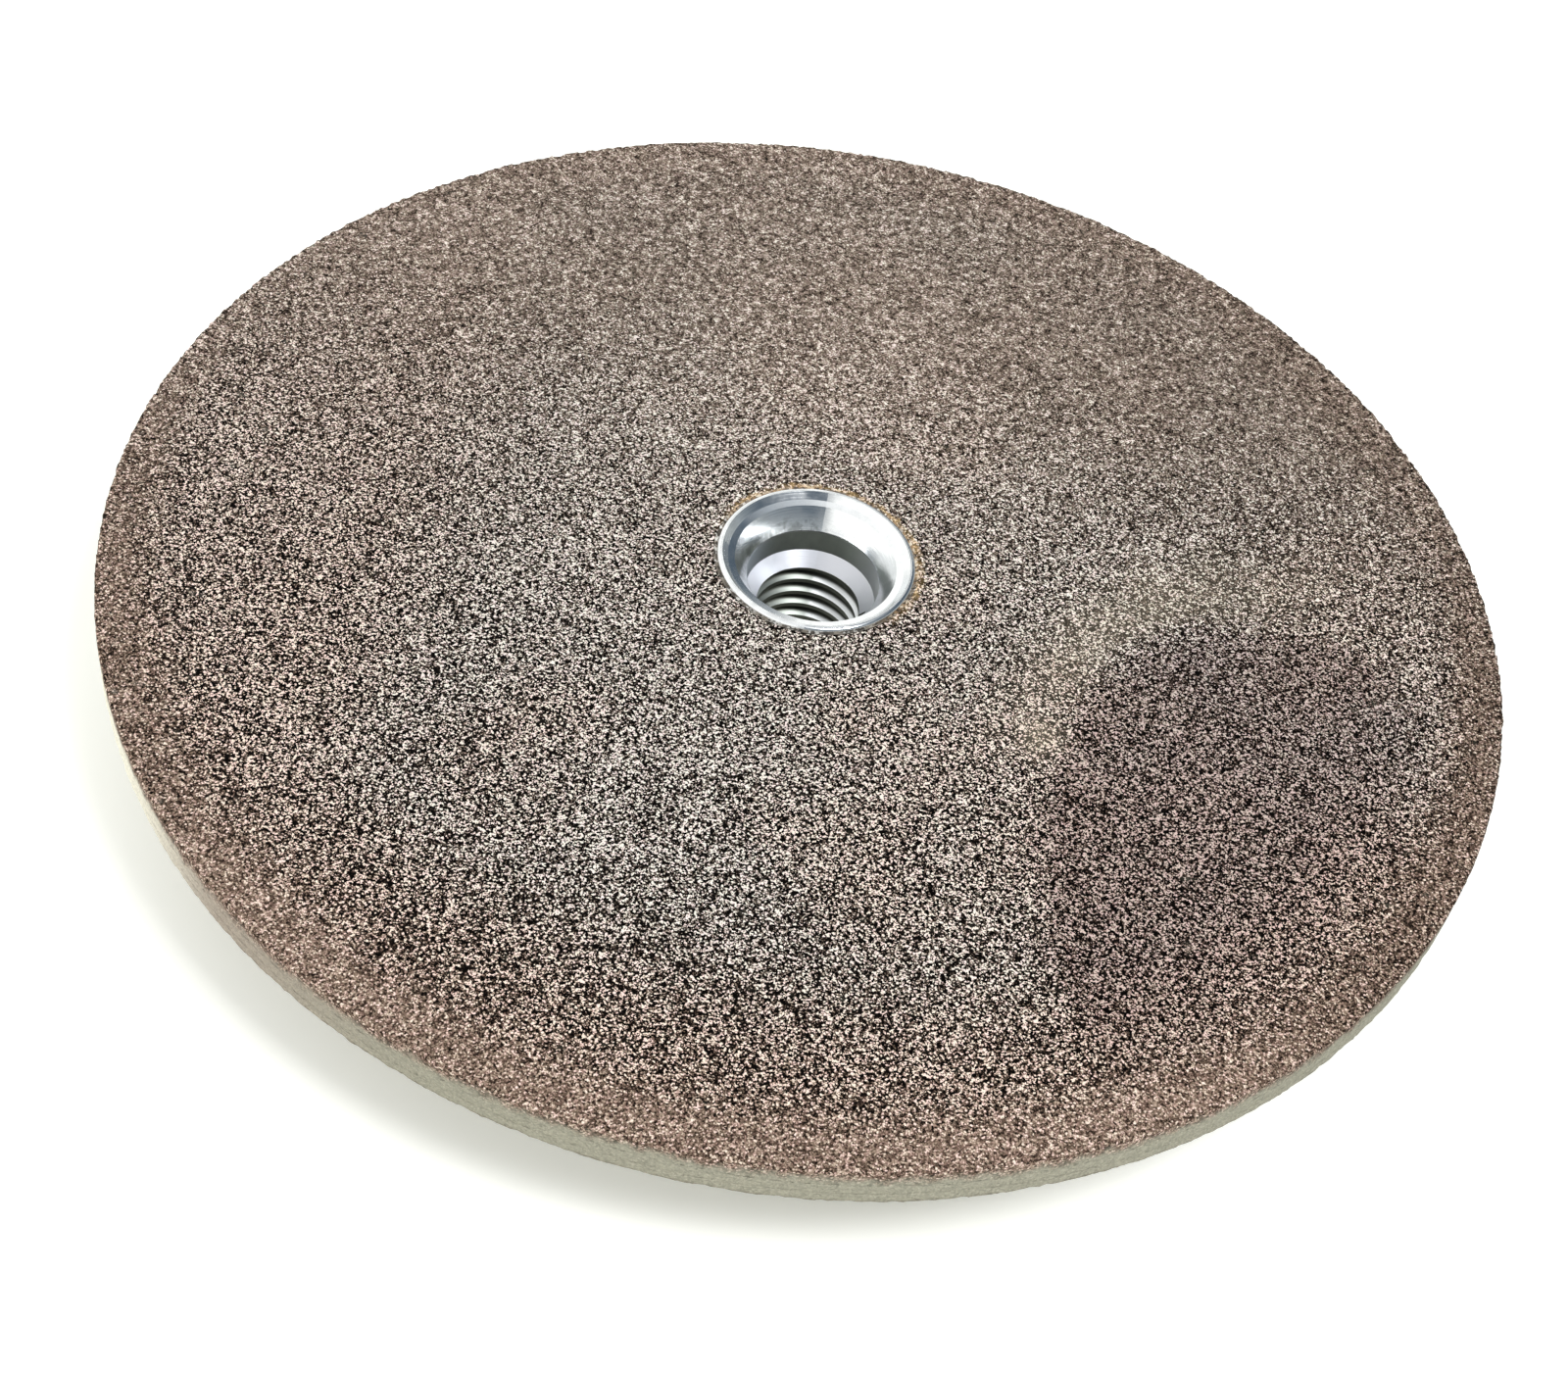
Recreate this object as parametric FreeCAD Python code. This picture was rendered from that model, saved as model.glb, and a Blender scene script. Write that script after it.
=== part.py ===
"""Bonded grinding wheel, 7 in x 1/4 in, with a permanently fixed 5/8-11 threaded hub.

Frame: millimetres, +Z is the spin axis and points out of the front (working) face.
The origin is the centre of the hub's rear seat, where it stops against the spindle's shoulder.
Every piece is turned about +Z, apart from the hub's hexagon and its thread.
"""
import FreeCAD
import Part
import math
import os

V = FreeCAD.Vector
AXIS_P = V(0, 0, 0)
AXIS_D = V(0, 0, 1)

# ---------------------------------------------------------------- driving dimensions (mm)
WHEEL_R = 88.9            # 7 in wheel
WHEEL_T = 6.35            # 1/4 in disc
FACE_Z = 21.80            # front face of the disc above the rear seat
BACK_Z = FACE_Z - WHEEL_T  # back face of the disc, 15.45
EDGE_ROUND = 0.45         # worn corner of the rim
BORE_R = 11.30            # bore of the disc
BORE_MOUTH_R = 13.20      # chipped mouth of the bore at the front face
BORE_MOUTH_Z = 19.60      # where the mouth starts to open

NET_R = 87.60             # reinforcing nets end short of the rim
NET_T = 0.40              # resin-soaked fibreglass net
NET_REAR_Z = BACK_Z                 # net at the back face
NET_INNER_Z = BACK_Z + 2.10         # net between rear and middle grit
NET_FRONT_Z = BACK_Z + 3.75         # net between middle and front grit

BLOTTER_R = 26.40         # paper washer
BLOTTER_T = 0.50

FLANGE_R = 25.40          # 2 in pressed steel flange
FLANGE_T = 1.60
FLANGE_STEP = 0.75        # how far its middle is dished away from the disc
FLANGE_PAD_R = 19.60      # inner edge of the raised bearing ring

BARREL_R = 10.90          # bushing where it passes the disc
COLLAR_R = 17.00          # shoulder that carries the flange
COLLAR_T = 3.20
HEX_AF = 28.575           # 1-1/8 in across flats
HEX_CHAMFER = 1.20
LIP_R = 12.80             # swaged front lip
LIP_Z = FACE_Z + 0.40     # top of the lip, 22.20 (7/8 in over all)

# front opening of the bushing, from the lip down to the thread (r, z)
RIM_TOP = (12.10, LIP_Z)   # inner edge of the lip's top
RIM_IN = (11.31, 21.38)   # foot of the steep rim band
BELL_MID = (10.42, 21.17) # inner edge of the shallow ring
BELL_TURN = (9.45, 19.83)
BELL_END = (8.62, 18.40)
SEAT_OUT = (8.45, 15.05)  # foot of the tapered wall, start of the 45 degree seat

# 5/8-11 UNC internal thread
PITCH = 25.4 / 11.0
THREAD_START = -1.066 * PITCH       # height of the groove at the +X side, one turn below the rear seat
MINOR_R = 6.75
MAJOR_R = 15.875 / 2.0
THREAD_TOP = SEAT_OUT[1] - (SEAT_OUT[0] - MINOR_R)   # first crest, 13.35
ENTRY_R = 8.40            # rear entry chamfer
ENTRY_D = ENTRY_R - MINOR_R

FLANGE_SEAT_Z = BACK_Z - BLOTTER_T - FLANGE_T - FLANGE_STEP   # top of the shoulder
COLLAR_Z = FLANGE_SEAT_Z - COLLAR_T                           # foot of the shoulder


# ---------------------------------------------------------------- helpers
def p(r, z):
    return V(r, 0, z)


def seg(a, b):
    return Part.makeLine(p(*a), p(*b))


def arc(a, m, b):
    return Part.Arc(p(*a), p(*m), p(*b)).toShape()


def turned(edges, angle=360.0):
    """Revolve a closed profile in the XZ plane about Z."""
    face = Part.Face(Part.Wire(edges))
    shape = face.revolve(AXIS_P, AXIS_D, angle)
    if shape.ShapeType != "Solid":
        shape = shape.Solids[0] if shape.Solids else Part.Solid(Part.Shell(shape.Faces))
    return shape


def polygon(points):
    pts = list(points)
    return [seg(pts[i], pts[(i + 1) % len(pts)]) for i in range(len(pts))]


def write(name, shape):
    solids = shape.Solids
    assert len(solids) == 1, (name, len(solids))
    s = solids[0]
    if s.Volume < 0:
        s.reverse()
    assert s.isValid(), name
    s.exportStep("parts/%s.step" % name)
    print("%-26s faces %4d  volume %10.1f mm3  z %7.3f .. %7.3f" % (
        name, len(s.Faces), s.Volume, s.BoundBox.ZMin, s.BoundBox.ZMax))
    return s


# ---------------------------------------------------------------- disc: three grit layers
def front_layer():
    """Front grit: carries the working face, the bore's mouth and the upper rim."""
    z0, z1 = NET_FRONT_Z, FACE_Z
    e = EDGE_ROUND
    d = e * (1 - math.sqrt(0.5))
    edges = [
        seg((BORE_R, z0 + NET_T), (NET_R, z0 + NET_T)),
        seg((NET_R, z0 + NET_T), (NET_R, z0)),
        seg((NET_R, z0), (WHEEL_R, z0)),
        seg((WHEEL_R, z0), (WHEEL_R, z1 - e)),
        arc((WHEEL_R, z1 - e), (WHEEL_R - d, z1 - d), (WHEEL_R - e, z1)),
        seg((WHEEL_R - e, z1), (BORE_MOUTH_R, z1)),
        seg((BORE_MOUTH_R, z1), (BORE_R, BORE_MOUTH_Z)),
    ]
    if BORE_MOUTH_Z > z0 + NET_T + 1e-6:
        edges.append(seg((BORE_R, BORE_MOUTH_Z), (BORE_R, z0 + NET_T)))
    return turned(edges)


def middle_layer():
    """Grit between the front net and the inner net."""
    z0, z1 = NET_INNER_Z, NET_FRONT_Z
    return turned(polygon([(BORE_R, z0 + NET_T), (NET_R, z0 + NET_T), (NET_R, z0),
                           (WHEEL_R, z0), (WHEEL_R, z1), (BORE_R, z1)]))


def rear_layer():
    """Grit between the inner net and the net at the back face."""
    z0, z1 = NET_REAR_Z, NET_INNER_Z
    e = EDGE_ROUND
    d = e * (1 - math.sqrt(0.5))
    edges = [
        seg((BORE_R, z0 + NET_T), (NET_R, z0 + NET_T)),
        seg((NET_R, z0 + NET_T), (NET_R, z0)),
        seg((NET_R, z0), (WHEEL_R - e, z0)),
        arc((WHEEL_R - e, z0), (WHEEL_R - d, z0 + d), (WHEEL_R, z0 + e)),
        seg((WHEEL_R, z0 + e), (WHEEL_R, z1)),
        seg((WHEEL_R, z1), (BORE_R, z1)),
        seg((BORE_R, z1), (BORE_R, z0 + NET_T)),
    ]
    return turned(edges)


def net(z0):
    """Resin-soaked fibreglass net, its openings filled by the bond."""
    return turned(polygon([(BORE_R, z0), (NET_R, z0), (NET_R, z0 + NET_T), (BORE_R, z0 + NET_T)]))


# ---------------------------------------------------------------- rear clamp
def blotter():
    """Paper washer that evens out the flange's pressure on the grit."""
    z1 = BACK_Z
    z0 = z1 - BLOTTER_T
    return turned(polygon([(BORE_R, z0), (BLOTTER_R, z0), (BLOTTER_R, z1), (BORE_R, z1)]))


def flange():
    """Pressed steel flange: flat middle on the shoulder, raised bearing ring outside."""
    t, s = FLANGE_T, FLANGE_STEP
    zb = FLANGE_SEAT_Z                 # underside of the middle
    r0 = BARREL_R
    ra, rb = FLANGE_PAD_R - 1.5, FLANGE_PAD_R
    R = FLANGE_R
    e = 0.6
    d = e * (1 - math.sqrt(0.5))
    edges = [
        seg((r0, zb), (ra, zb)),
        seg((ra, zb), (rb, zb + s)),
        seg((rb, zb + s), (R - e, zb + s)),
        arc((R - e, zb + s), (R - d, zb + s + d), (R, zb + s + e)),
        seg((R, zb + s + e), (R, zb + s + t)),
        seg((R, zb + s + t), (rb, zb + s + t)),
        seg((rb, zb + s + t), (ra, zb + t)),
        seg((ra, zb + t), (r0, zb + t)),
        seg((r0, zb + t), (r0, zb)),
    ]
    return turned(edges)


# ---------------------------------------------------------------- threaded bushing
LIP_OUT = [               # outside of the flared lip, from the barrel up (r, z)
    (BARREL_R, 18.90),
    (11.30, 20.00),
    (12.45, 21.10),
]
LIP_SIDE = (LIP_R, 21.50)
LIP_ROUND = 0.48          # rounding of the lip's outer edge


def lip_outside(up=True):
    """Edges of the lip's outside, from the barrel to the side of the lip."""
    out = [arc(LIP_OUT[0], LIP_OUT[1], LIP_OUT[2]), seg(LIP_OUT[2], LIP_SIDE)]
    return out if up else [arc(LIP_OUT[2], LIP_OUT[1], LIP_OUT[0])]


def thread_groove():
    """Right-hand 60 degree groove, one solid per turn, from below the rear seat to its run-out in the seat cone."""
    root = PITCH / 8.0
    depth = MAJOR_R - MINOR_R
    open_w = root + 2.0 * depth * math.tan(math.radians(30))      # width of the groove at the minor radius
    under = 0.20                                                  # how far the tool reaches inside the bore
    inner_w = open_w + 2.0 * under * math.tan(math.radians(30))
    r0, r1 = MINOR_R - under, MAJOR_R
    turns = []
    z = THREAD_START
    while z < THREAD_TOP:                                         # the last turn stops in the seat cone, on the +X side
        prof = Part.makePolygon([V(r0, 0, z - inner_w / 2), V(r1, 0, z - root / 2),
                                 V(r1, 0, z + root / 2), V(r0, 0, z + inner_w / 2),
                                 V(r0, 0, z - inner_w / 2)])
        helix = Part.makeHelix(PITCH, PITCH, MINOR_R)
        helix.translate(V(0, 0, z))
        turns.append(Part.Wire(helix.Edges).makePipeShell([prof], True, True))
        z += PITCH
    print("thread: crest %.3f, groove at the minor radius %.3f, pitch %.4f, %d turns of tool" % (
        PITCH - open_w, open_w, PITCH, len(turns)))
    return turns


def bushing():
    """Hexagon, shoulder and barrel in one piece, with the swaged lip and the threaded bore."""
    k = LIP_ROUND
    round_from = (LIP_R, LIP_Z - k)
    round_mid = (LIP_R - k * (1 - math.sqrt(0.5)), LIP_Z - k * (1 - math.sqrt(0.5)))
    round_to = (LIP_R - k, LIP_Z)
    quarter = [
        seg((ENTRY_R, 0.0), (COLLAR_R + 1.0, 0.0)),
        seg((COLLAR_R + 1.0, 0.0), (COLLAR_R + 1.0, COLLAR_Z)),
        seg((COLLAR_R + 1.0, COLLAR_Z), (COLLAR_R, COLLAR_Z)),
        seg((COLLAR_R, COLLAR_Z), (COLLAR_R, FLANGE_SEAT_Z)),
        seg((COLLAR_R, FLANGE_SEAT_Z), (BARREL_R, FLANGE_SEAT_Z)),
        seg((BARREL_R, FLANGE_SEAT_Z), LIP_OUT[0]),
    ] + lip_outside() + [
        seg(LIP_SIDE, round_from),
        arc(round_from, round_mid, round_to),
        seg(round_to, RIM_TOP),
        seg(RIM_TOP, RIM_IN),
        seg(RIM_IN, BELL_MID),
        arc(BELL_MID, BELL_TURN, BELL_END),
        seg(BELL_END, SEAT_OUT),
        seg(SEAT_OUT, (MINOR_R, THREAD_TOP)),
        seg((MINOR_R, THREAD_TOP), (MINOR_R, ENTRY_D)),
        seg((MINOR_R, ENTRY_D), (ENTRY_R, 0.0)),
    ]
    q = turned(quarter, 90.0)
    body = q
    for k in range(1, 4):
        c = q.copy()
        c.rotate(AXIS_P, AXIS_D, 90.0 * k)
        body = body.fuse(c)
    # hexagon with its corners turned off at the rear
    circ = HEX_AF / math.sqrt(3)
    pts = [V(circ * math.cos(math.radians(60 * k)), circ * math.sin(math.radians(60 * k)), 0) for k in range(7)]
    hexa = Part.Face(Part.makePolygon(pts)).extrude(V(0, 0, COLLAR_Z))
    cone = turned(polygon([(0, 0), (circ - HEX_CHAMFER * 1.6, 0), (circ + 0.2, HEX_CHAMFER), (circ + 0.2, COLLAR_Z), (0, COLLAR_Z)]))
    hexa = hexa.common(cone)
    keep = hexa.fuse(Part.makeCylinder(40, 30, V(0, 0, COLLAR_Z)))
    body = body.common(keep)
    for turn in thread_groove():
        body = body.cut(turn)
    return body


# ---------------------------------------------------------------- bonding cement
def cement():
    """Cement sleeve between the bushing's barrel and the disc's bore, ending as a ring round the lip."""
    z0 = FLANGE_SEAT_Z + FLANGE_T
    top = LIP_SIDE
    edges = [
        seg((BARREL_R, z0), (BORE_R, z0)),
        seg((BORE_R, z0), (BORE_R, BORE_MOUTH_Z)),
        seg((BORE_R, BORE_MOUTH_Z), (BORE_MOUTH_R, FACE_Z)),
        seg((BORE_MOUTH_R, FACE_Z), top),
        seg(top, LIP_OUT[2]),
        arc(LIP_OUT[2], LIP_OUT[1], LIP_OUT[0]),
        seg(LIP_OUT[0], (BARREL_R, z0)),
    ]
    return turned(edges)


def main():
    os.makedirs("parts", exist_ok=True)
    write("abrasive_front_layer", front_layer())
    write("front_reinforcing_net", net(NET_FRONT_Z))
    write("abrasive_middle_layer", middle_layer())
    write("inner_reinforcing_net", net(NET_INNER_Z))
    write("abrasive_rear_layer", rear_layer())
    write("rear_reinforcing_net", net(NET_REAR_Z))
    write("rear_blotter", blotter())
    write("rear_flange", flange())
    write("bonding_cement", cement())
    write("threaded_bushing", bushing())


main()
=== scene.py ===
import bpy
import math
import numpy as np
from mathutils import Matrix, Vector


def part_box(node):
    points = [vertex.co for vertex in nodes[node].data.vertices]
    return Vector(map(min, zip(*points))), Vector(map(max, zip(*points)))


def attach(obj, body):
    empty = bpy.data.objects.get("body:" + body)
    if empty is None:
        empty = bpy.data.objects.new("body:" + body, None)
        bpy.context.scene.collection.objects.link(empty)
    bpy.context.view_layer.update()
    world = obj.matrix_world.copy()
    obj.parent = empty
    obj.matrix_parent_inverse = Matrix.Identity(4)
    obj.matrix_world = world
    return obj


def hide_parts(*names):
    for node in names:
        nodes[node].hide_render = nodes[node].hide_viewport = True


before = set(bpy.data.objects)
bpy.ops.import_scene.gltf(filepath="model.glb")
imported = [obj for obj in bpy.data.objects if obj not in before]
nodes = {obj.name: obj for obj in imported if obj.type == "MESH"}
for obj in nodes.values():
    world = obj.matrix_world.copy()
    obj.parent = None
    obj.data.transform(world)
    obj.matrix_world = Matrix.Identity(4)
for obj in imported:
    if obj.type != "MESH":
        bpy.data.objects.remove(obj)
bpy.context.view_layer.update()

scene = bpy.context.scene

# ------------------------------------------------------------------ places, read from the frame
lo_f, hi_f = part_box("abrasive_front_layer")
lo_m, hi_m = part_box("abrasive_middle_layer")
lo_r, hi_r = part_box("abrasive_rear_layer")
lo_b, hi_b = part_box("threaded_bushing")
lo_net, hi_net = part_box("front_reinforcing_net")
WHEEL_R = hi_f.x
FACE_Z = hi_f.z
FRONT_Z0 = lo_f.z          # front layer / middle layer
MID_Z0 = lo_m.z            # middle layer / rear layer
BACK_Z = lo_r.z
NET_R = hi_net.x
NET_T = hi_net.z - lo_net.z
BORE_R = 0.01130
MOUTH_R = 0.01320
MOUTH_Z = 0.01960
EDGE = 0.00045


# ------------------------------------------------------------------ camera
def camera():
    cam = bpy.data.cameras.new("camera")
    ob = bpy.data.objects.new("camera", cam)
    scene.collection.objects.link(ob)
    cam.sensor_fit = "HORIZONTAL"
    cam.sensor_width = 36.0
    cam.lens = 54.75
    cam.clip_start, cam.clip_end = 0.01, 50.0
    right = Vector((0.9833, 0.1341, 0.1228)).normalized()
    back = Vector((0.0, -0.6754, 0.7374)).normalized()
    right = (right - back * right.dot(back)).normalized()
    up = back.cross(right)
    m = Matrix((right, up, back)).transposed().to_4x4()
    m.translation = Vector((-0.01262 * WHEEL_R, -2.44905 * WHEEL_R, 2.39460 * WHEEL_R + FACE_Z))
    ob.matrix_world = m
    scene.camera = ob


camera()
scene.view_settings.view_transform = "Standard"
scene.view_settings.look = "None"


# ------------------------------------------------------------------ seeded value noise in 3-D
def hash3(i, j, k, seed):
    n = (i.astype(np.int64) * 73856093) ^ (j.astype(np.int64) * 19349663) ^ (k.astype(np.int64) * 83492791) ^ (seed * 2654435761)
    n = (n ^ (n >> 13)) * 1274126177
    n = n ^ (n >> 16)
    return (n & 0xFFFFFF).astype(np.float64) / float(0xFFFFFF)


def noise3(p, cell, seed):
    q = p / cell
    b = np.floor(q).astype(np.int64)
    f = q - b
    f = f * f * (3 - 2 * f)
    out = np.zeros(len(p))
    for dx in (0, 1):
        wx = f[:, 0] if dx else 1 - f[:, 0]
        for dy in (0, 1):
            wy = f[:, 1] if dy else 1 - f[:, 1]
            for dz in (0, 1):
                wz = f[:, 2] if dz else 1 - f[:, 2]
                out += wx * wy * wz * hash3(b[:, 0] + dx, b[:, 1] + dy, b[:, 2] + dz, seed)
    return out * 2 - 1


# ------------------------------------------------------------------ closed turned bodies with a rough skin
def lathe(name, rings, seed):
    """rings: closed list of (r, z, spacing, nr, nz, amount). Rings are joined by zipping their points by angle.
    nr, nz is the outward direction of the skin there and amount how rough it is, 0 for a hidden plain face."""
    rng = np.random.default_rng(seed)
    pts, nor, amt, start, count, off = [], [], [], [], [], []
    total = 0
    for (r, z, spacing, nr, nz, a) in rings:
        n = max(24, int(round(2 * math.pi * r / spacing)))
        o = rng.uniform(0, 2 * math.pi / n)
        t = o + np.arange(n) * 2 * math.pi / n
        if a > 0:
            t = t + rng.uniform(-0.30, 0.30, n) * 2 * math.pi / n
        c, s = np.cos(t), np.sin(t)
        rr = np.full(n, r)
        zz = np.full(n, z)
        if a > 0:
            j = rng.uniform(-0.28, 0.28, n) * spacing
            rr = rr + j * abs(nz)
            zz = zz + j * abs(nr)
        pts.append(np.stack([rr * c, rr * s, zz], 1))
        nor.append(np.stack([nr * c, nr * s, np.full(n, nz)], 1))
        amt.append(np.full(n, a))
        start.append(total)
        count.append(n)
        off.append(t)
        total += n
    P = np.concatenate(pts)
    N = np.concatenate(nor)
    A = np.concatenate(amt)
    tris = []
    m = len(rings)
    for k in range(m):
        a0, na, ta = start[k], count[k], off[k]
        b0, nb, tb = start[(k + 1) % m], count[(k + 1) % m], off[(k + 1) % m]
        i = j = 0
        ta_l, tb_l = ta.tolist(), tb.tolist()
        two = 2 * math.pi
        # start at the point of b nearest in angle to a's first point
        jb = int(np.argmin(np.abs(((tb - ta[0] + math.pi) % two) - math.pi)))
        base_b = tb_l[jb] if tb_l[jb] - ta_l[0] < math.pi else tb_l[jb] - two
        if base_b - ta_l[0] < -math.pi:
            base_b += two
        while i < na or j < nb:
            an = ta_l[(i + 1) % na] + (two if i + 1 >= na else 0.0)
            jn = (jb + j + 1) % nb
            bn = tb_l[jn] - tb_l[jb] + base_b
            if jn <= jb:
                bn += two
            if j + 1 > nb:
                bn = 1e9
            if i + 1 > na:
                an = 1e9
            A0 = a0 + i % na
            B0 = b0 + (jb + j) % nb
            if an <= bn:
                tris.append((A0, a0 + (i + 1) % na, B0))
                i += 1
            else:
                tris.append((A0, b0 + (jb + j + 1) % nb, B0))
                j += 1
    T = np.array(tris, np.int32)
    return P, N, A, T


def make_mesh(name, P, T, smooth=True):
    me = bpy.data.meshes.new(name)
    me.vertices.add(len(P))
    me.vertices.foreach_set("co", P.astype(np.float32).ravel())
    me.loops.add(len(T) * 3)
    me.loops.foreach_set("vertex_index", T.ravel())
    me.polygons.add(len(T))
    me.polygons.foreach_set("loop_start", np.arange(0, len(T) * 3, 3, dtype=np.int32))
    me.polygons.foreach_set("loop_total", np.full(len(T), 3, np.int32))
    me.polygons.foreach_set("use_smooth", np.full(len(T), smooth))
    me.update()
    me.validate()
    ob = bpy.data.objects.new(name, me)
    scene.collection.objects.link(ob)
    return ob


def signed_volume(P, T):
    a, b, c = P[T[:, 0]], P[T[:, 1]], P[T[:, 2]]
    return float(np.einsum("ij,ij->i", a, np.cross(b, c)).sum() / 6)


def grit_relief(P, N, A, seed):
    """Height of the broken grain along the outward direction, all of it inside the true size."""
    g1 = noise3(P, 0.00062, seed)
    g2 = noise3(P, 0.00110, seed + 7)
    g3 = noise3(P, 0.0060, seed + 13)
    pit = np.clip(noise3(P, 0.0016, seed + 29) - 0.45, 0, 1)
    h = -0.00010 + 0.00010 * g1 + 0.00005 * g2 + 0.00003 * g3 - 0.00036 * pit
    return P + N * (A * h)[:, None]


def ring_run(r0, z0, r1, z1, spacing, nr, nz, amount, skip_first=False):
    d = math.hypot(r1 - r0, z1 - z0)
    n = max(1, int(round(d / spacing)))
    out = []
    for k in range(1 if skip_first else 0, n + 1):
        t = k / n
        out.append((r0 + (r1 - r0) * t, z0 + (z1 - z0) * t, spacing, nr, nz, amount))
    return out


SP = 0.00055      # spacing of the skin's points
COARSE = 0.0040


def grit_front():
    rings = []
    # chipped mouth of the bore, then the face
    rings += ring_run(BORE_R, MOUTH_Z, MOUTH_R - 0.0001, FACE_Z - 0.0001, SP, -0.55, 0.83, 0.5)
    rings += ring_run(MOUTH_R + 0.0003, FACE_Z, WHEEL_R - 0.0008, FACE_Z, SP, 0.0, 1.0, 1.0)
    # worn corner
    e = 0.00045
    for a in (25, 65):
        rings.append((WHEEL_R - e + e * math.sin(math.radians(a)), FACE_Z - e + e * math.cos(math.radians(a)),
                      SP, math.sin(math.radians(a)), math.cos(math.radians(a)), 0.6))
    rings += ring_run(WHEEL_R, FACE_Z - e - 0.0001, WHEEL_R, FRONT_Z0 + 0.0001, SP, 1.0, 0.0, 0.5)
    rings.append((WHEEL_R, FRONT_Z0, SP, 1.0, 0.0, 0.5))
    rings.append((NET_R, FRONT_Z0, SP * 2, 0, -1, 0))
    rings.append((NET_R, FRONT_Z0 + NET_T, SP * 2, 0, -1, 0))
    rings.append((BORE_R + 0.0001, FRONT_Z0 + NET_T, SP * 2, 0, -1, 0))
    return rings


def rim_layer(z0, z1, rear):
    """Middle and rear grit: only the rim shows."""
    rings = []
    rings.append((BORE_R, z1, SP * 2, 0, 1, 0))
    rings.append((NET_R, z1, SP * 2, 0, 1, 0))
    rings.append((WHEEL_R, z1, SP, 1.0, 0.0, 0.5))
    if rear:
        e = 0.0007
        rings += ring_run(WHEEL_R, z1 - 0.0003, WHEEL_R, z0 + e, SP, 1.0, 0.0, 0.5)
        for a in (70, 45, 20):
            rings.append((WHEEL_R - e + e * math.sin(math.radians(a)), z0 + e - e * math.cos(math.radians(a)),
                          SP, math.sin(math.radians(a)), -math.cos(math.radians(a)), 1.0))
        rings.append((WHEEL_R - 0.0010, z0, SP, 0, -1, 0.8))
        rings.append((NET_R, z0, SP, 0, -1, 0.4))
    else:
        rings += ring_run(WHEEL_R, z1 - 0.0003, WHEEL_R, z0 + 0.0003, SP, 1.0, 0.0, 0.5)
        rings.append((WHEEL_R, z0, SP, 1.0, 0.0, 0.5))
        rings.append((NET_R, z0, SP * 2, 0, -1, 0))
    rings.append((NET_R, z0 + NET_T, SP * 2, 0, -1, 0))
    rings.append((BORE_R, z0 + NET_T, SP * 2, 0, -1, 0))
    return rings


def grit_piece(name, rings, node, seed):
    P, N, A, T = lathe(name, rings, seed)
    P = grit_relief(P, N, A, 11)
    if signed_volume(P, T) < 0:
        T = T[:, ::-1].copy()
    ob = make_mesh(name, P, T)
    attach(ob, "root")
    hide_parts(node)
    print(name, "points", len(P), "faces", len(T))
    return ob


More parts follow.
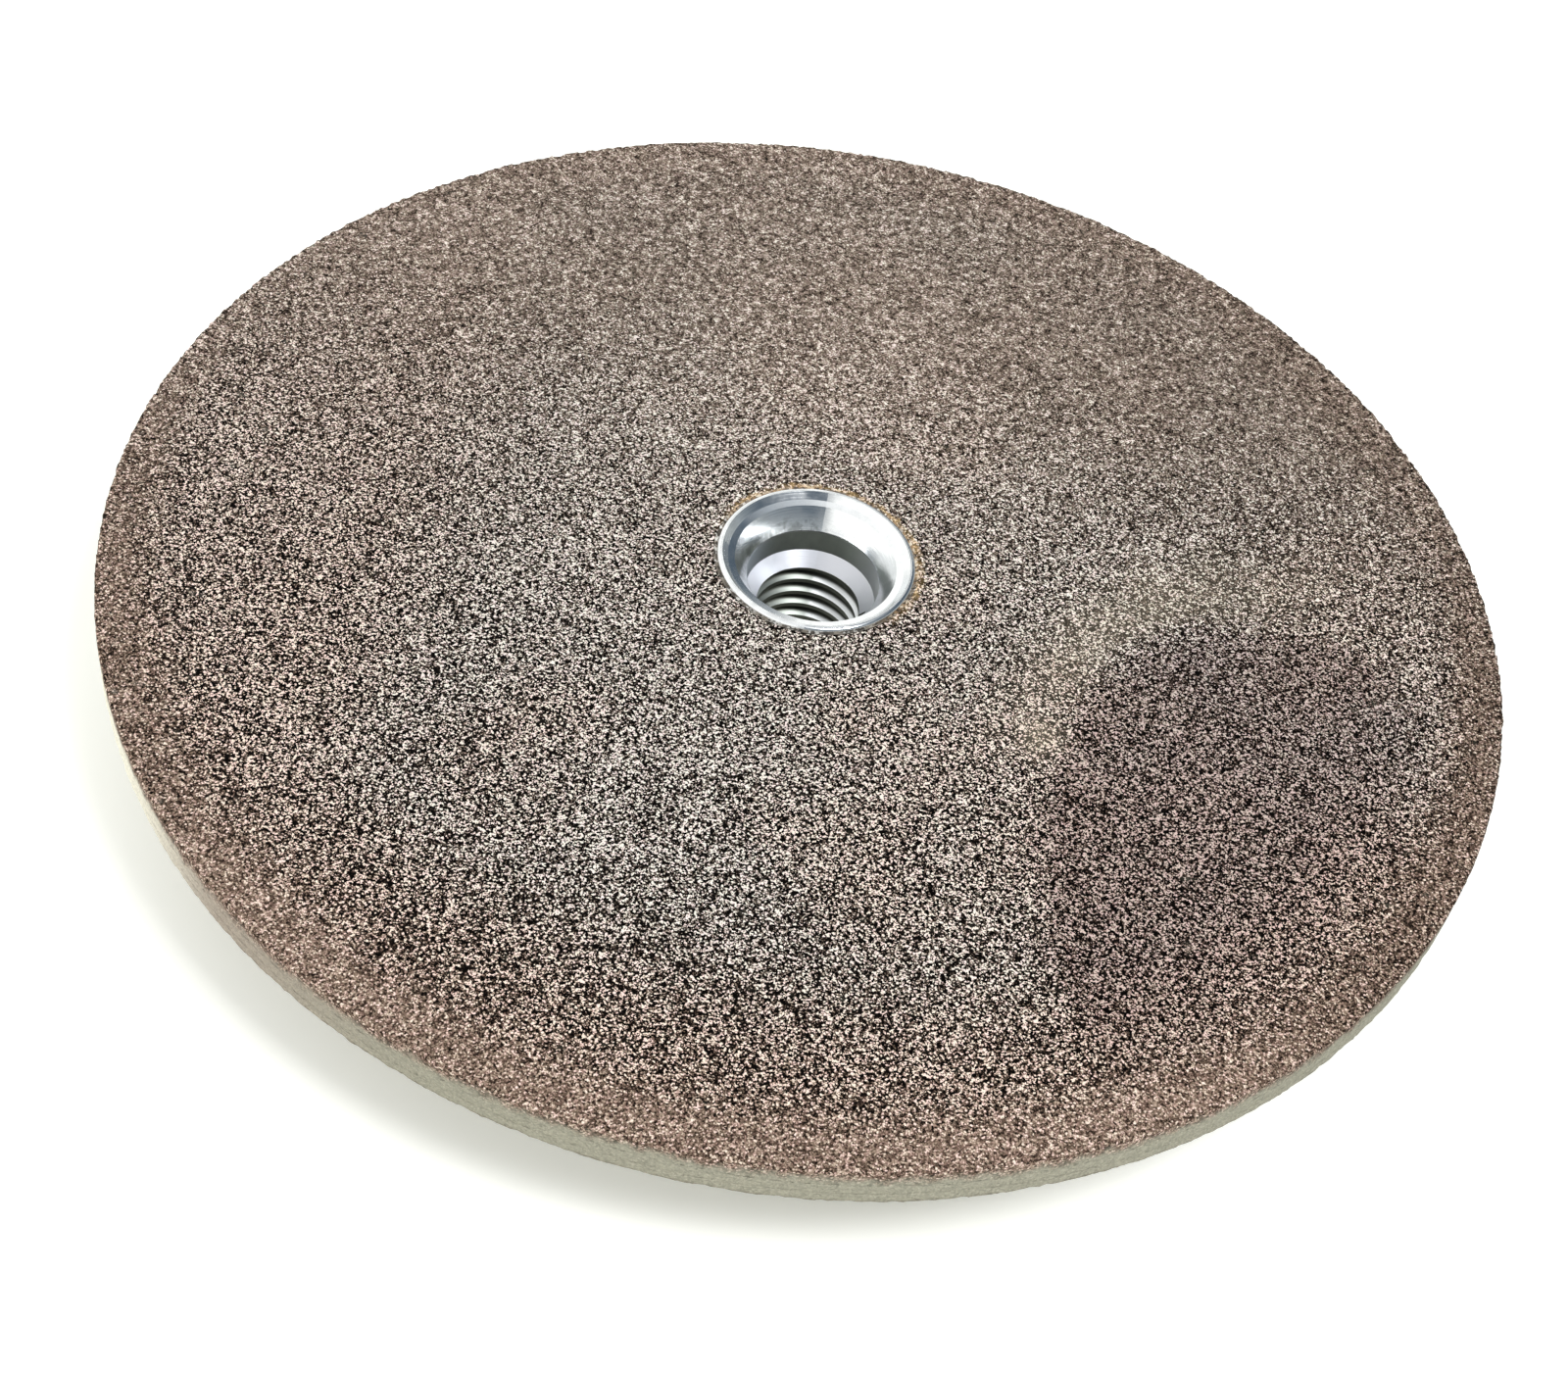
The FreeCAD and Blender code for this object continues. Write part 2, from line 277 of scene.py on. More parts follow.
# ------------------------------------------------------------------ material helpers
class Mat:
    def __init__(self, name):
        self.m = bpy.data.materials.new(name)
        self.m.use_nodes = True
        self.t = self.m.node_tree
        self.t.nodes.clear()
        self.out = self.t.nodes.new("ShaderNodeOutputMaterial")
        self.bsdf = self.t.nodes.new("ShaderNodeBsdfPrincipled")
        self.t.links.new(self.bsdf.outputs[0], self.out.inputs[0])
        self.coord = self.t.nodes.new("ShaderNodeTexCoord")

    def n(self, kind, **kw):
        node = self.t.nodes.new(kind)
        for k, v in kw.items():
            setattr(node, k, v)
        return node

    def link(self, a, b):
        self.t.links.new(a, b)

    def put(self, sock, v):
        if isinstance(v, bpy.types.NodeSocket):
            self.link(v, sock)
        else:
            sock.default_value = v

    def math(self, op, a, b=0.0, clamp=False, c=None):
        x = self.n("ShaderNodeMath", operation=op, use_clamp=clamp)
        self.put(x.inputs[0], a)
        self.put(x.inputs[1], b)
        if c is not None:
            self.put(x.inputs[2], c)
        return x.outputs[0]

    def vmath(self, op, a, b=None, scale=None):
        x = self.n("ShaderNodeVectorMath", operation=op)
        self.put(x.inputs[0], a)
        if b is not None:
            self.put(x.inputs[1], b)
        if scale is not None:
            self.put(x.inputs["Scale"], scale)
        return x.outputs[1] if op in ("LENGTH", "DOT_PRODUCT", "DISTANCE") else x.outputs[0]

    def noise(self, scale, detail=2.0, rough=0.5, vec=None, distortion=0.0):
        x = self.n("ShaderNodeTexNoise")
        x.inputs["Scale"].default_value = scale
        x.inputs["Detail"].default_value = detail
        x.inputs["Roughness"].default_value = rough
        x.inputs["Distortion"].default_value = distortion
        self.link(vec or self.coord.outputs["Object"], x.inputs["Vector"])
        return x.outputs["Fac"]

    def voronoi(self, scale, feature="F1", vec=None, randomness=1.0):
        x = self.n("ShaderNodeTexVoronoi", feature=feature)
        x.inputs["Scale"].default_value = scale
        x.inputs["Randomness"].default_value = randomness
        self.link(vec or self.coord.outputs["Object"], x.inputs["Vector"])
        return x

    def ramp(self, fac, stops, mode="LINEAR"):
        x = self.n("ShaderNodeValToRGB")
        x.color_ramp.interpolation = mode
        el = x.color_ramp.elements
        el[0].position, el[0].color = stops[0][0], (*stops[0][1], 1)
        el[1].position, el[1].color = stops[-1][0], (*stops[-1][1], 1)
        for pos, col in stops[1:-1]:
            e = el.new(pos)
            e.color = (*col, 1)
        self.put(x.inputs[0], fac)
        return x.outputs["Color"]

    def smooth(self, v, a, b):
        x = self.n("ShaderNodeMapRange", interpolation_type="SMOOTHSTEP")
        self.put(x.inputs["Value"], v)
        x.inputs["From Min"].default_value = a
        x.inputs["From Max"].default_value = b
        x.inputs["To Min"].default_value = 0.0
        x.inputs["To Max"].default_value = 1.0
        return x.outputs["Result"]

    def mix(self, f, a, b, blend="MIX"):
        x = self.n("ShaderNodeMix", data_type="RGBA", blend_type=blend)
        self.put(x.inputs[0], f)
        for sock, v in ((x.inputs[6], a), (x.inputs[7], b)):
            if isinstance(v, tuple):
                sock.default_value = (*v, 1)
            else:
                self.link(v, sock)
        return x.outputs[2]

    def fmix(self, f, a, b):
        x = self.n("ShaderNodeMix", data_type="FLOAT")
        self.put(x.inputs[0], f)
        self.put(x.inputs[2], a)
        self.put(x.inputs[3], b)
        return x.outputs[0]

    def sep(self, v):
        x = self.n("ShaderNodeSeparateXYZ")
        self.link(v, x.inputs[0])
        return x.outputs

    def comb(self, x=0.0, y=0.0, z=0.0):
        c = self.n("ShaderNodeCombineXYZ")
        for s, v in zip(c.inputs, (x, y, z)):
            self.put(s, v)
        return c.outputs[0]

    def bump(self, height, strength, distance, normal=None):
        b = self.n("ShaderNodeBump")
        b.inputs["Strength"].default_value = strength
        b.inputs["Distance"].default_value = distance
        self.link(height, b.inputs["Height"])
        if normal is not None:
            self.link(normal, b.inputs["Normal"])
        return b.outputs[0]


def grit_material(name, face=True):
    """Broken grain in a resin bond: every grain has its own colour and tilt, with dark pores between."""
    m = Mat(name)
    pos = m.coord.outputs["Object"]
    x, y, z = m.sep(pos)[0:3]
    radius = m.vmath("LENGTH", m.comb(x, y, 0.0))
    big = m.voronoi(1.0 / 0.00025)
    small = m.voronoi(1.0 / 0.00016)
    bc = m.n("ShaderNodeSeparateColor")
    m.link(big.outputs["Color"], bc.inputs[0])
    sc = m.n("ShaderNodeSeparateColor")
    m.link(small.outputs["Color"], sc.inputs[0])
    clump = m.noise(1.0 / 0.0010, 2.0, 0.6)
    # how open the surface is: grains stand apart in the middle, and are worn and dusty near the rim
    band = m.smooth(radius, 0.0745, 0.0862)
    near = m.smooth(y, -0.046, -0.070)
    far = m.smooth(y, -0.045, 0.052)
    sides = m.smooth(m.math("ADD", z, m.math("MULTIPLY", m.math("SUBTRACT", m.noise(500.0, 2.0, 0.6), 0.5), 0.0030)), FACE_Z - 0.0004, FACE_Z - 0.0026)
    calm = m.math("MAXIMUM", m.math("MULTIPLY", band, 0.84), m.math("MULTIPLY", far, 0.95))
    gain = m.math("MULTIPLY", m.fmix(calm, 1.90, 0.30), m.fmix(near, 1.0, 0.80))
    gain = m.fmix(m.smooth(z, FACE_Z - 0.0003, FACE_Z - 0.0007), gain, 0.40)
    fine = m.math("MULTIPLY", m.math("SUBTRACT", bc.outputs[0], 0.5), 1.25)
    fine = m.math("ADD", fine, m.math("MULTIPLY", m.math("SUBTRACT", sc.outputs[0], 0.5), 0.95))
    fine = m.math("ADD", fine, m.math("MULTIPLY", m.math("SUBTRACT", 0.45, big.outputs["Distance"]), 0.50))
    soft = m.math("SUBTRACT", clump, 0.5)
    t = m.math("ADD", m.math("MULTIPLY", fine, gain), m.math("MULTIPLY", soft, m.fmix(far, 0.12, 0.92)))
    t = m.math("ADD", t, m.math("MULTIPLY", m.math("MULTIPLY", far, m.smooth(x, 0.050, 0.0)), 0.040))
    t = m.math("ADD", t, m.math("MULTIPLY", m.math("MULTIPLY", band, near), 0.074))
    t = m.math("SUBTRACT", t, m.math("MULTIPLY", m.math("MULTIPLY", band, m.smooth(x, 0.045, 0.070)), 0.040))
    t = m.math("ADD", t, m.math("MULTIPLY", m.smooth(radius, 0.054, 0.028), 0.048))
    t = m.math("ADD", t, m.math("ADD", 0.300, m.math("MULTIPLY", calm, 0.306)), clamp=True)
    grain = m.ramp(t, [
        (0.00, (0.001, 0.0008, 0.0006)),
        (0.17, (0.003, 0.0022, 0.0018)),
        (0.34, (0.026, 0.020, 0.016)),
        (0.52, (0.112, 0.089, 0.072)),
        (0.70, (0.230, 0.190, 0.160)),
        (0.86, (0.450, 0.400, 0.350)),
        (1.00, (0.840, 0.810, 0.770)),
    ])
    pinkish = m.mix(1.0, grain, (1.06, 0.945, 0.945), "MULTIPLY")
    olive = m.mix(1.0, grain, (1.00, 0.985, 0.915), "MULTIPLY")
    col = m.mix(m.smooth(bc.outputs[1], 0.30, 0.80), olive, pinkish)
    # broad tone
    broad = m.noise(26.0, 2.0, 0.5)
    warm = m.math("MAXIMUM", m.math("MULTIPLY", m.smooth(broad, 0.45, 0.66), 0.6), band)
    warm = m.math("MAXIMUM", warm, m.math("MULTIPLY", m.smooth(radius, 0.058, 0.078), m.smooth(y, -0.005, -0.035)))
    warm = m.math("MAXIMUM", warm, m.math("MULTIPLY", m.smooth(x, -0.036, -0.060), 0.9))
    warm = m.math("MULTIPLY", warm, m.fmix(far, 1.0, 0.35))
    col = m.mix(warm, col, m.mix(1.0, col, (1.07, 0.945, 0.89), "MULTIPLY"))
    if face:
        # a darker patch beside a dusty streak
        wob = m.math("MULTIPLY", m.math("SUBTRACT", m.noise(60.0, 2.0, 0.5), 0.5), 0.22)
        ell = m.vmath("LENGTH", m.comb(m.math("DIVIDE", m.math("SUBTRACT", x, 0.0620), 0.0310),
                                       m.math("DIVIDE", m.math("SUBTRACT", y, -0.0390), 0.0420), 0.0))
        ell = m.math("ADD", ell, wob)
        dark = m.math("MULTIPLY", m.smooth(ell, 1.06, 0.90), m.smooth(radius, 0.0870, 0.0700))
        col = m.mix(dark, col, m.mix(1.0, col, (0.68, 0.63, 0.64), "MULTIPLY"))
        lee = m.math("MULTIPLY", m.smooth(ell, 0.98, 1.08), m.smooth(ell, 1.42, 1.10))
        lee = m.math("MULTIPLY", lee, m.smooth(m.math("SUBTRACT", y, m.math("MULTIPLY", x, 0.9)), -0.054, -0.036))
        streak = m.math("MAXIMUM", m.math("MULTIPLY", lee, 0.60),
                        m.smooth(m.math("ADD", m.vmath("DISTANCE", m.comb(x, m.math("MULTIPLY", y, 0.72), 0.0), (0.0300, -0.0166, 0.0)), m.math("MULTIPLY", wob, 0.030)), 0.0052, 0.0006))
        col = m.mix(m.math("MULTIPLY", streak, 0.54), col, m.mix(0.55, m.mix(1.0, col, (1.35, 1.28, 1.02), "MULTIPLY"), (0.33, 0.285, 0.215)))
    if face:
        wet = m.math("ADD", radius, m.math("MULTIPLY", m.math("SUBTRACT", m.noise(1300.0, 2.0, 0.6), 0.5), 0.0022))
        ring = m.smooth(wet, 0.01415, 0.01345)
        ring = m.math("MULTIPLY", ring, m.smooth(m.math("ADD", y, m.math("MULTIPLY", x, 0.55)), -0.0060, 0.0020))
        ring = m.math("MULTIPLY", ring, m.fmix(m.smooth(m.noise(300.0, 2.0, 0.5), 0.40, 0.60), 0.30, 0.85))
        amber = m.mix(1.0, m.mix(0.50, col, (0.40, 0.33, 0.22)), (1.40, 1.16, 0.80), "MULTIPLY")
        col = m.mix(ring, col, amber)
    # the side of the disc is filled with pale bond dust; painted light makes it lightest on the left, and painted
    # shade gives it a dark broken lower edge
    painted_left_light = m.smooth(x, -0.056, -0.076)
    mud = m.smooth(m.math("ADD", x, m.math("MULTIPLY", y, 0.2)), -0.075, -0.045)
    pale = m.mix(painted_left_light, m.mix(mud, (0.325, 0.278, 0.232), (0.298, 0.290, 0.230)), (0.80, 0.77, 0.66))
    tone = m.ramp(t, [(0.10, (0.86, 0.85, 0.83)), (0.50, (1.12, 1.12, 1.12)), (0.90, (1.26, 1.26, 1.23))])
    pale = m.mix(1.0, pale, tone, "MULTIPLY")
    low = m.math("ADD", z, m.math("MULTIPLY", m.math("SUBTRACT", m.noise(900.0, 2.0, 0.6), 0.5), 0.0016))
    # painted shade: a dark band along the lower edge of the side, faint on the left where the painted light is
    painted_lower_edge_shade = m.math("MULTIPLY", m.smooth(low, BACK_Z + 0.0011, BACK_Z + 0.0002), m.fmix(painted_left_light, 0.68, 0.10))
    pale = m.mix(painted_lower_edge_shade, pale, (0.075, 0.062, 0.045))
    col = m.mix(m.math("MULTIPLY", sides, 0.9), col, pale)
    m.link(col, m.bsdf.inputs["Base Color"])
    # facets: each grain is tilted its own way
    geo = m.n("ShaderNodeNewGeometry")
    t1 = m.vmath("SCALE", m.vmath("SUBTRACT", big.outputs["Color"], (0.5, 0.5, 0.5)), scale=0.8)
    nrm = m.vmath("NORMALIZE", m.vmath("ADD", geo.outputs["Normal"], t1))
    m.link(nrm, m.bsdf.inputs["Normal"])
    m.link(m.fmix(m.smooth(sc.outputs[2], 0.80, 0.90), 0.70, 0.40), m.bsdf.inputs["Roughness"])
    m.bsdf.inputs["Specular IOR Level"].default_value = 0.02
    return m.m


def metal_material(name, base, rough, ring_scale, ring_strength, blotch=0.12, recess=False):
    m = Mat(name)
    pos = m.coord.outputs["Object"]
    x, y, z = m.sep(pos)[0:3]
    radius = m.vmath("LENGTH", m.comb(x, y, 0.0))
    turned = m.comb(radius, 0.0, z)
    rings = m.noise(ring_scale, 2.0, 0.6, vec=turned)
    fine = m.noise(ring_scale * 4.0, 1.0, 0.5, vec=turned)
    spots = m.noise(420.0, 3.0, 0.6)
    c = m.mix(m.smooth(spots, 0.35, 0.75), tuple(base), tuple(b * (1 - blotch) for b in base))
    c = m.mix(m.math("MULTIPLY", m.smooth(rings, 0.4, 0.6), 0.15), c, tuple(b * 0.7 for b in base))
    rough_out = m.fmix(m.smooth(spots, 0.3, 0.7), rough * 0.8, rough * 1.25)
    if recess:
        # the rear end is duller than the turned front
        rear = m.math("MULTIPLY", m.smooth(z, 0.0145, 0.0125), m.smooth(radius, 0.0090, 0.0098))
        c = m.mix(m.math("MULTIPLY", rear, m.fmix(m.smooth(spots, 0.35, 0.65), 0.75, 1.0)), c, (0.40, 0.41, 0.42))
        geo = m.n("ShaderNodeNewGeometry")
        nz = m.math("ABSOLUTE", m.sep(geo.outputs["Normal"])[2])
        inside = m.smooth(radius, 0.01100, 0.01060)
        # smeared and stained where the swaging tool stopped
        stain = m.noise(700.0, 3.0, 0.65)
        band = m.math("MULTIPLY", m.smooth(z, 0.02060, 0.01900), m.smooth(stain, 0.42, 0.60))
        band = m.math("MULTIPLY", m.math("MULTIPLY", band, inside), m.smooth(x, 0.0020, -0.0010))
        c = m.mix(m.math("MULTIPLY", band, 0.66), c, (0.33, 0.35, 0.34))
        # the pocket wall under the bell, dull and grey: partly oily grime and partly painted shade under the bell;
        # painted light makes it paler towards the right, and a painted reflection makes it blue-grey on the left
        wall = m.math("MULTIPLY", m.smooth(z, 0.01830, 0.01812), m.smooth(z, 0.01500, 0.01512))
        wall = m.math("MULTIPLY", wall, m.smooth(nz, 0.62, 0.50))
        wall_grime_and_painted_light = m.mix(stain, (0.25, 0.28, 0.25), (0.40, 0.42, 0.38))
        # painted light: the wall paler towards the right
        wall_grime_and_painted_light = m.mix(m.smooth(m.math("SUBTRACT", x, m.math("MULTIPLY", y, 0.35)), 0.0000, 0.0070), wall_grime_and_painted_light, (0.72, 0.74, 0.72))
        # painted reflection: the wall blue-grey on the left
        wall_grime_and_painted_light = m.mix(m.smooth(x, -0.0050, -0.0090), wall_grime_and_painted_light, (0.48, 0.53, 0.56))
        c = m.mix(m.math("MULTIPLY", wall, inside), c, wall_grime_and_painted_light)
        c = m.mix(m.math("MULTIPLY", m.smooth(z, 0.01512, 0.01500), m.smooth(z, 0.01330, 0.01340)), c, (0.58, 0.59, 0.63))
        # thread: bright flanks; painted shade darkens the left half, and painted shade darkens the steep crests
        # and the roots
        cone = m.math("ABSOLUTE", m.math("SUBTRACT", m.math("SUBTRACT", radius, z), 0.00675 - 0.01335))
        cone = m.smooth(cone, 0.00005, 0.00012)
        thread = m.math("MULTIPLY", m.smooth(radius, 0.00812, 0.00804), m.smooth(z, 0.01480, 0.01470))
        thread = m.math("MULTIPLY", thread, cone)
        steep = m.smooth(nz, 0.62, 0.40)
        root = m.smooth(radius, 0.00712, 0.00748)
        painted_thread_shade = m.math("MAXIMUM", steep, root)
        # painted shade: the left half of the thread darker
        c = m.mix(m.math("MULTIPLY", thread, m.smooth(x, 0.0006, -0.0004)), c, (0.26, 0.28, 0.26))
        # painted shade on the steep crests and in the roots
        c = m.mix(m.math("MULTIPLY", thread, painted_thread_shade), c, (0.085, 0.09, 0.075))
        seat = m.math("MULTIPLY", m.smooth(z, 0.01512, 0.01500), m.smooth(z, 0.01330, 0.01340))
        rough_out = m.fmix(m.math("MAXIMUM", m.math("MULTIPLY", wall, inside), m.math("MAXIMUM", thread, seat)), rough_out, 0.42)
    m.link(c, m.bsdf.inputs["Base Color"])
    m.bsdf.inputs["Metallic"].default_value = 1.0
    m.link(rough_out, m.bsdf.inputs["Roughness"])
    h = m.math("ADD", m.math("MULTIPLY", rings, 0.7), m.math("MULTIPLY", fine, 0.3))
    m.link(m.bump(h, ring_strength, 0.00008), m.bsdf.inputs["Normal"])
    return m.m


def net_material(name):
    m = Mat(name)
    pos = m.coord.outputs["Object"]
    x, y, z = m.sep(pos)[0:3]
    p = 0.0050
    fx = m.math("ABSOLUTE", m.math("SUBTRACT", m.math("FRACT", m.math("DIVIDE", x, p)), 0.5))
    fy = m.math("ABSOLUTE", m.math("SUBTRACT", m.math("FRACT", m.math("DIVIDE", y, p)), 0.5))
    yarn = m.math("MAXIMUM", m.smooth(fx, 0.14, 0.10), m.smooth(fy, 0.14, 0.10))
    resin = m.mix(m.noise(900.0, 3.0, 0.6), (0.10, 0.075, 0.055), (0.30, 0.235, 0.17))
    glass = m.mix(m.noise(2600.0, 2.0, 0.5), (0.42, 0.36, 0.27), (0.62, 0.55, 0.43))
    m.link(m.mix(yarn, resin, glass), m.bsdf.inputs["Base Color"])
    m.link(m.fmix(yarn, 0.75, 0.45), m.bsdf.inputs["Roughness"])
    m.link(m.bump(m.math("ADD", yarn, m.math("MULTIPLY", m.noise(1500.0, 2.0, 0.6), 0.5)), 0.6, 0.0002), m.bsdf.inputs["Normal"])
    return m.m


def yarn_material(name):
    """Glass yarn stiffened with brown resin, dusty where grit has stuck to it."""
    m = Mat(name)
    pos = m.coord.outputs["Object"]
    fibre = m.noise(1800.0, 3.0, 0.65)
    glass = m.mix(fibre, (0.30, 0.25, 0.18), (0.64, 0.58, 0.46))
    stuck = m.smooth(m.noise(520.0, 3.0, 0.6), 0.50, 0.66)
    m.link(m.mix(m.math("MULTIPLY", stuck, 0.8), glass, (0.095, 0.078, 0.066)), m.bsdf.inputs["Base Color"])
    m.link(m.fmix(stuck, 0.42, 0.80), m.bsdf.inputs["Roughness"])
    m.link(m.bump(fibre, 0.6, 0.00015), m.bsdf.inputs["Normal"])
    return m.m


def woven_net(name, node):
    """The rear net as woven yarns: flat strands every 5 mm each way, over and under each other."""
    lo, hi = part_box(node)
    zm = (lo.z + hi.z) / 2
    pitch, w, t, amp, step = 0.0050, 0.0018, 0.00016, 0.00010, 0.00125
    R1, R0 = NET_R - 0.0004, BORE_R + 0.0003
    V, F = [], []
    sect = [(-0.5, 0.0), (-0.28, 0.5), (0.28, 0.5), (0.5, 0.0), (0.28, -0.5), (-0.28, -0.5)]
    rng = np.random.default_rng(21)

    def strand(c, s0, s1, axis, k):
        n = max(2, int((s1 - s0) / step))
        base = len(V)
        wob, ph = rng.uniform(0.00005, 0.00018), rng.uniform(0, 6.28)
        for i in range(n + 1):
            q = s0 + (s1 - s0) * i / n
            dz = amp * math.cos(math.pi * (q / pitch + k + (0 if axis == 0 else 1)))
            cc = c + wob * math.sin(q * 90.0 + ph)
            ww = w * (0.92 + 0.08 * math.cos(2 * math.pi * q / pitch))
            for (u, v) in sect:
                a, b = cc + u * ww, q
                V.append((a, b, zm + dz + v * t) if axis == 0 else (b, a, zm + dz + v * t))
        m6 = len(sect)
        for i in range(n):
            for j in range(m6):
                p0, p1 = base + i * m6 + j, base + i * m6 + (j + 1) % m6
                quad = (p0, p1, p1 + m6, p0 + m6)
                F.append(quad if axis == 0 else quad[::-1])
        first = tuple(base + j for j in range(m6))
        last = tuple(base + n * m6 + j for j in range(m6))
        F.append(first[::-1] if axis == 0 else first)
        F.append(last if axis == 0 else last[::-1])

    for axis in (0, 1):
        for k in range(-17, 18):
            c = k * pitch
            far = abs(c) + w / 2 + 0.0003
            if far >= R1:
                continue
            s1 = math.sqrt(R1 * R1 - far * far)
            near = max(0.0, abs(c) - w / 2 - 0.0003)
            if near < R0:
                s0 = math.sqrt(R0 * R0 - near * near)
                strand(c, s0, s1, axis, k)
                strand(c, -s1, -s0, axis, k)
            else:
                strand(c, -s1, s1, axis, k)
    me = bpy.data.meshes.new(name)
    me.from_pydata(V, [], F)
    me.update()
    for poly in me.polygons:
        poly.use_smooth = True
    ob = bpy.data.objects.new(name, me)
    scene.collection.objects.link(ob)
    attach(ob, "root")
    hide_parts(node)
    print(name, "faces", len(F))
    return ob


def paper_material(name):
    m = Mat(name)
    fib = m.noise(2500.0, 4.0, 0.7)
    m.link(m.mix(fib, (0.38, 0.33, 0.26), (0.62, 0.57, 0.48)), m.bsdf.inputs["Base Color"])
    m.bsdf.inputs["Roughness"].default_value = 0.9
    m.link(m.bump(fib, 0.4, 0.0001), m.bsdf.inputs["Normal"])
    return m.m


def cement_material(name):
    """Amber resin squeezed out round the lip, broken up by grains of the disc."""
    m = Mat(name)
    v = m.voronoi(1.0 / 0.00038)
    c = m.n("ShaderNodeSeparateColor")
    m.link(v.outputs["Color"], c.inputs[0])
    col = m.ramp(c.outputs[0], [
        (0.00, (0.020, 0.014, 0.010)),
        (0.25, (0.090, 0.060, 0.036)),
        (0.50, (0.270, 0.165, 0.080)),
        (0.75, (0.480, 0.330, 0.180)),
        (1.00, (0.850, 0.760, 0.620)),
    ])
    x, y, z = m.sep(m.coord.outputs["Object"])[0:3]
    clean = m.smooth(m.math("ADD", m.math("MULTIPLY", x, 0.6), y), 0.001, -0.006)
    grey = m.ramp(c.outputs[1], [
        (0.00, (0.020, 0.016, 0.012)),
        (0.40, (0.120, 0.100, 0.080)),
        (0.75, (0.290, 0.250, 0.200)),
        (1.00, (0.800, 0.780, 0.740)),
    ])
    gap = m.smooth(m.noise(420.0, 2.0, 0.6), 0.48, 0.60)
    col = m.mix(m.math("MAXIMUM", clean, m.math("MULTIPLY", gap, 0.85)), col, grey)
    m.link(col, m.bsdf.inputs["Base Color"])
    m.bsdf.inputs["Roughness"].default_value = 0.6
    m.link(m.bump(m.noise(3000.0, 2.0, 0.6), 0.6, 0.0002), m.bsdf.inputs["Normal"])
    return m.m


# ------------------------------------------------------------------ the disc
M_FACE = grit_material("grit_front")
M_CORE = grit_material("grit_core", face=False)
front = grit_piece("grit_face", grit_front(), "abrasive_front_layer", 3)
front.data.materials.append(M_FACE)
middle = grit_piece("grit_middle", rim_layer(MID_Z0, FRONT_Z0, False), "abrasive_middle_layer", 5)
middle.data.materials.append(M_CORE)
rear = grit_piece("grit_rear", rim_layer(BACK_Z, MID_Z0, True), "abrasive_rear_layer", 6)
rear.data.materials.append(M_CORE)

# ------------------------------------------------------------------ pieces that keep their CAD shape
M_NET = net_material("fibreglass_net")
for n in ("front_reinforcing_net", "inner_reinforcing_net"):
    nodes[n].data.materials.clear()
    nodes[n].data.materials.append(M_NET)
woven_net("net_yarns", "rear_reinforcing_net").data.materials.append(yarn_material("rear_net_yarn"))
nodes["rear_blotter"].data.materials.clear()
nodes["rear_blotter"].data.materials.append(paper_material("blotter_paper"))
nodes["rear_flange"].data.materials.clear()
nodes["rear_flange"].data.materials.append(metal_material("flange_steel", (0.62, 0.63, 0.66), 0.34, 900.0, 0.25))
nodes["bonding_cement"].data.materials.clear()
nodes["bonding_cement"].data.materials.append(cement_material("cement"))
nodes["threaded_bushing"].data.materials.clear()
nodes["threaded_bushing"].data.materials.append(metal_material("bushing_metal", (0.84, 0.86, 0.87), 0.20, 1600.0, 0.20, recess=True))


# ------------------------------------------------------------------ floor and light
def floor():
    me = bpy.data.meshes.new("floor")
    s = 6.0
    me.from_pydata([(-s, -s, 0), (s, -s, 0), (s, s, 0), (-s, s, 0)], [], [(0, 1, 2, 3)])
    ob = bpy.data.objects.new("floor", me)
    scene.collection.objects.link(ob)
    m = Mat("floor_white")
    m.link(m.mix(m.noise(3.0, 2.0, 0.5), (0.86, 0.87, 0.85), (0.89, 0.89, 0.87)), m.bsdf.inputs["Base Color"])
    m.bsdf.inputs["Roughness"].default_value = 0.7
    m.bsdf.inputs["Emission Color"].default_value = (0.98, 1.0, 0.90, 1)
    m.bsdf.inputs["Emission Strength"].default_value = 0.27
    me.materials.append(m.m)


floor()


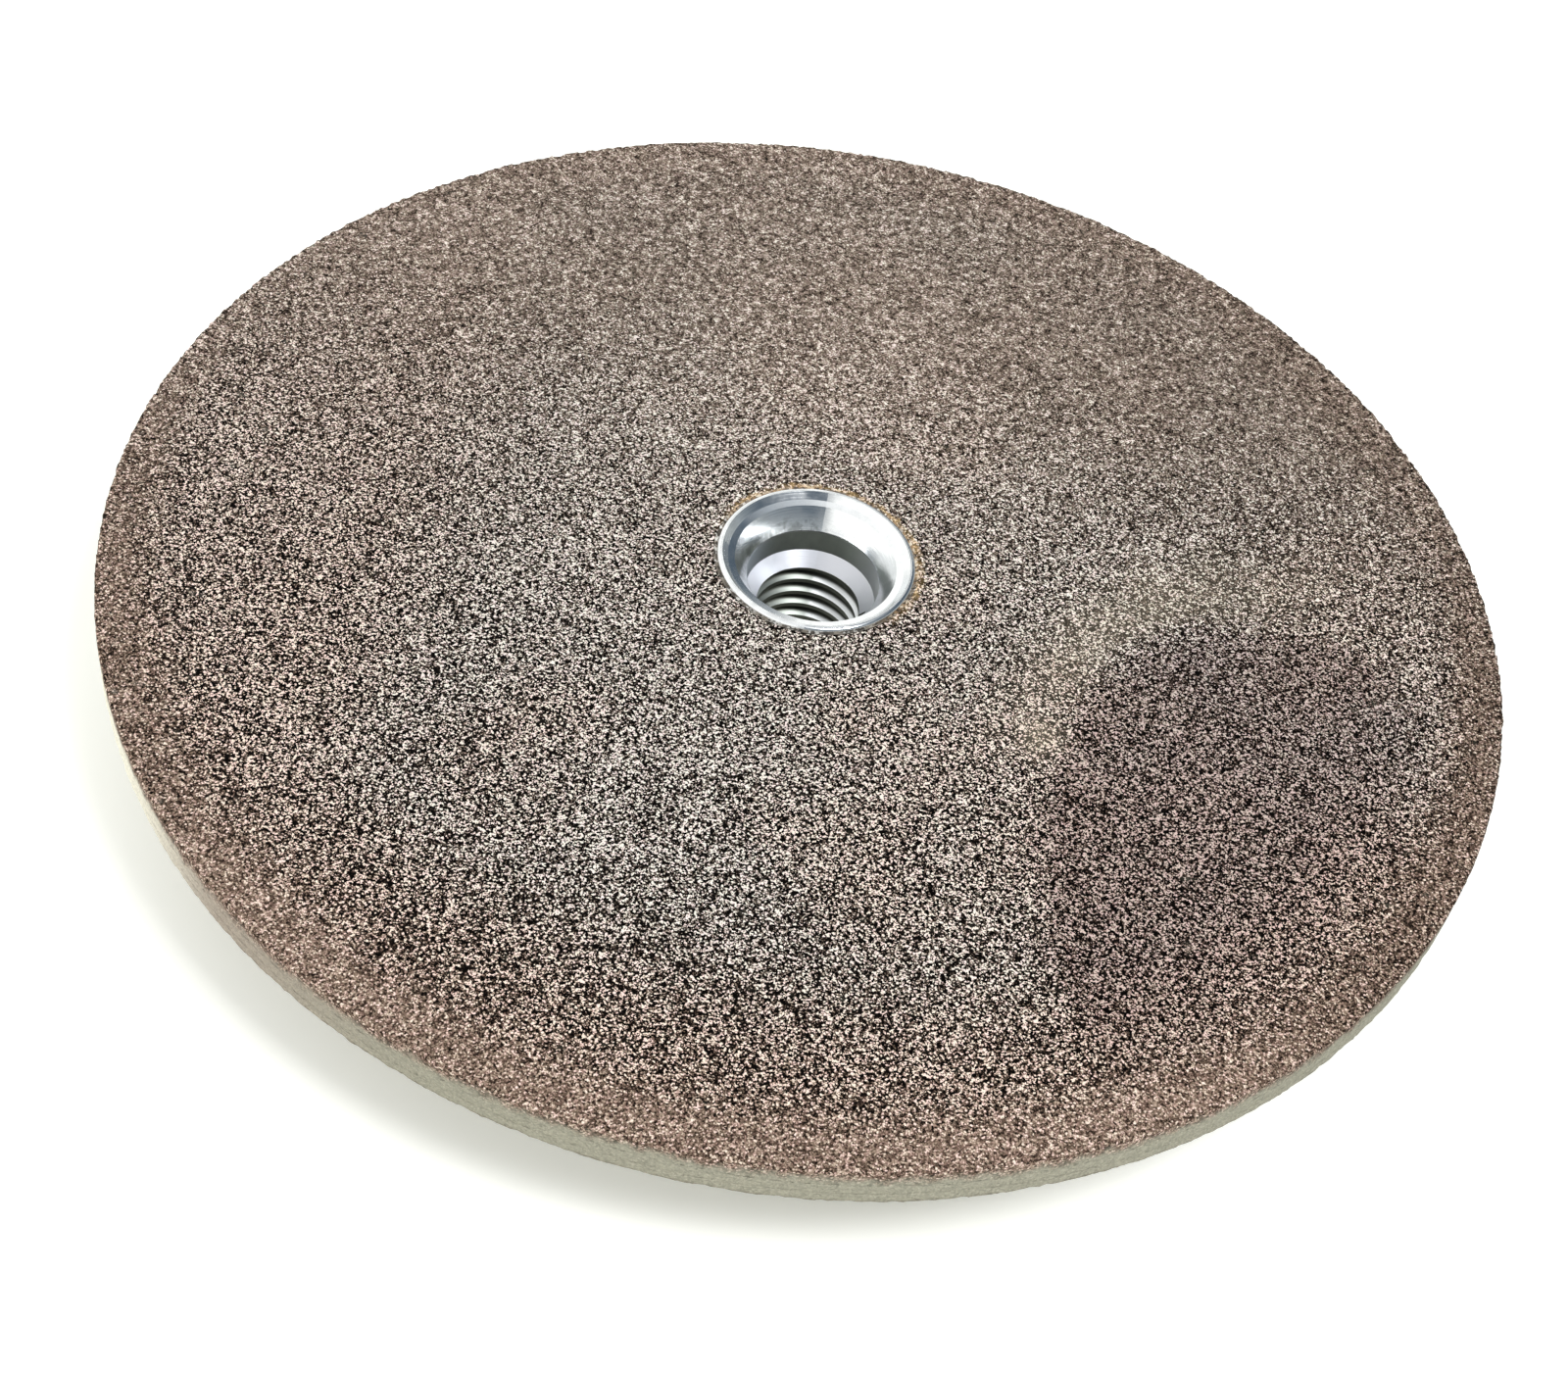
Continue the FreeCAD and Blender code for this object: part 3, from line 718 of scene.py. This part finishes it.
def area(name, loc, target, w, h, power, color=(1, 1, 1), spread=180):
    l = bpy.data.lights.new(name, "AREA")
    l.shape = "RECTANGLE"
    l.size, l.size_y = w, h
    l.energy = power
    l.color = color
    l.spread = math.radians(spread)
    ob = bpy.data.objects.new(name, l)
    scene.collection.objects.link(ob)
    d = Vector(target) - Vector(loc)
    ob.matrix_world = d.to_track_quat("-Z", "Y").to_matrix().to_4x4()
    ob.location = loc
    return ob


key = area("key", (0.54, -0.40, 1.22), (0, 0, 0.02), 0.42, 0.42, 13.0)


def sky():
    """A pale studio: white walls on the left and behind, a darker blue-grey side low on the right."""
    w = bpy.data.worlds.new("world")
    scene.world = w
    w.use_nodes = True
    t = w.node_tree
    bg = t.nodes["Background"]

    class W(Mat):
        def __init__(self):
            self.t = t
            self.coord = t.nodes.new("ShaderNodeTexCoord")
    m = W()
    d = m.coord.outputs["Generated"]
    x, y, z = m.sep(d)[0:3]
    flat = m.math("SQRT", m.math("ADD", m.math("MULTIPLY", x, x), m.math("MULTIPLY", y, y)))
    hx = m.math("DIVIDE", x, m.math("MAXIMUM", flat, 0.001))
    hy = m.math("DIVIDE", y, m.math("MAXIMUM", flat, 0.001))
    el = m.math("MULTIPLY", m.math("ARCSINE", z), 57.2958)
    left = m.smooth(m.math("ADD", m.math("MULTIPLY", hx, -1.0), m.math("MULTIPLY", hy, 0.07)), -0.02, 0.05)
    patch = m.noise(5.0, 2.0, 0.6, vec=d)
    right = m.ramp(m.math("ADD", m.math("DIVIDE", el, 90.0), m.math("MULTIPLY", m.math("SUBTRACT", patch, 0.5), 0.06)), [
        (0.00, (0.50, 0.52, 0.50)),
        (0.12, (0.42, 0.45, 0.46)),
        (0.22, (0.28, 0.32, 0.35)),
        (0.32, (0.085, 0.115, 0.15)),
        (0.54, (0.070, 0.100, 0.135)),
        (0.66, (0.42, 0.46, 0.50)),
        (0.78, (0.70, 0.74, 0.78)),
        (0.90, (0.85, 0.87, 0.90)),
        (1.00, (0.95, 0.96, 0.98)),
    ])
    white = m.ramp(m.math("DIVIDE", el, 90.0), [
        (0.00, (0.95, 0.95, 0.92)),
        (0.10, (1.40, 1.40, 1.36)),
        (0.70, (1.25, 1.25, 1.23)),
        (1.00, (0.95, 0.96, 0.98)),
    ])
    m.link(m.mix(left, right, white), bg.inputs[0])
    bg.inputs[1].default_value = 1.0


sky()
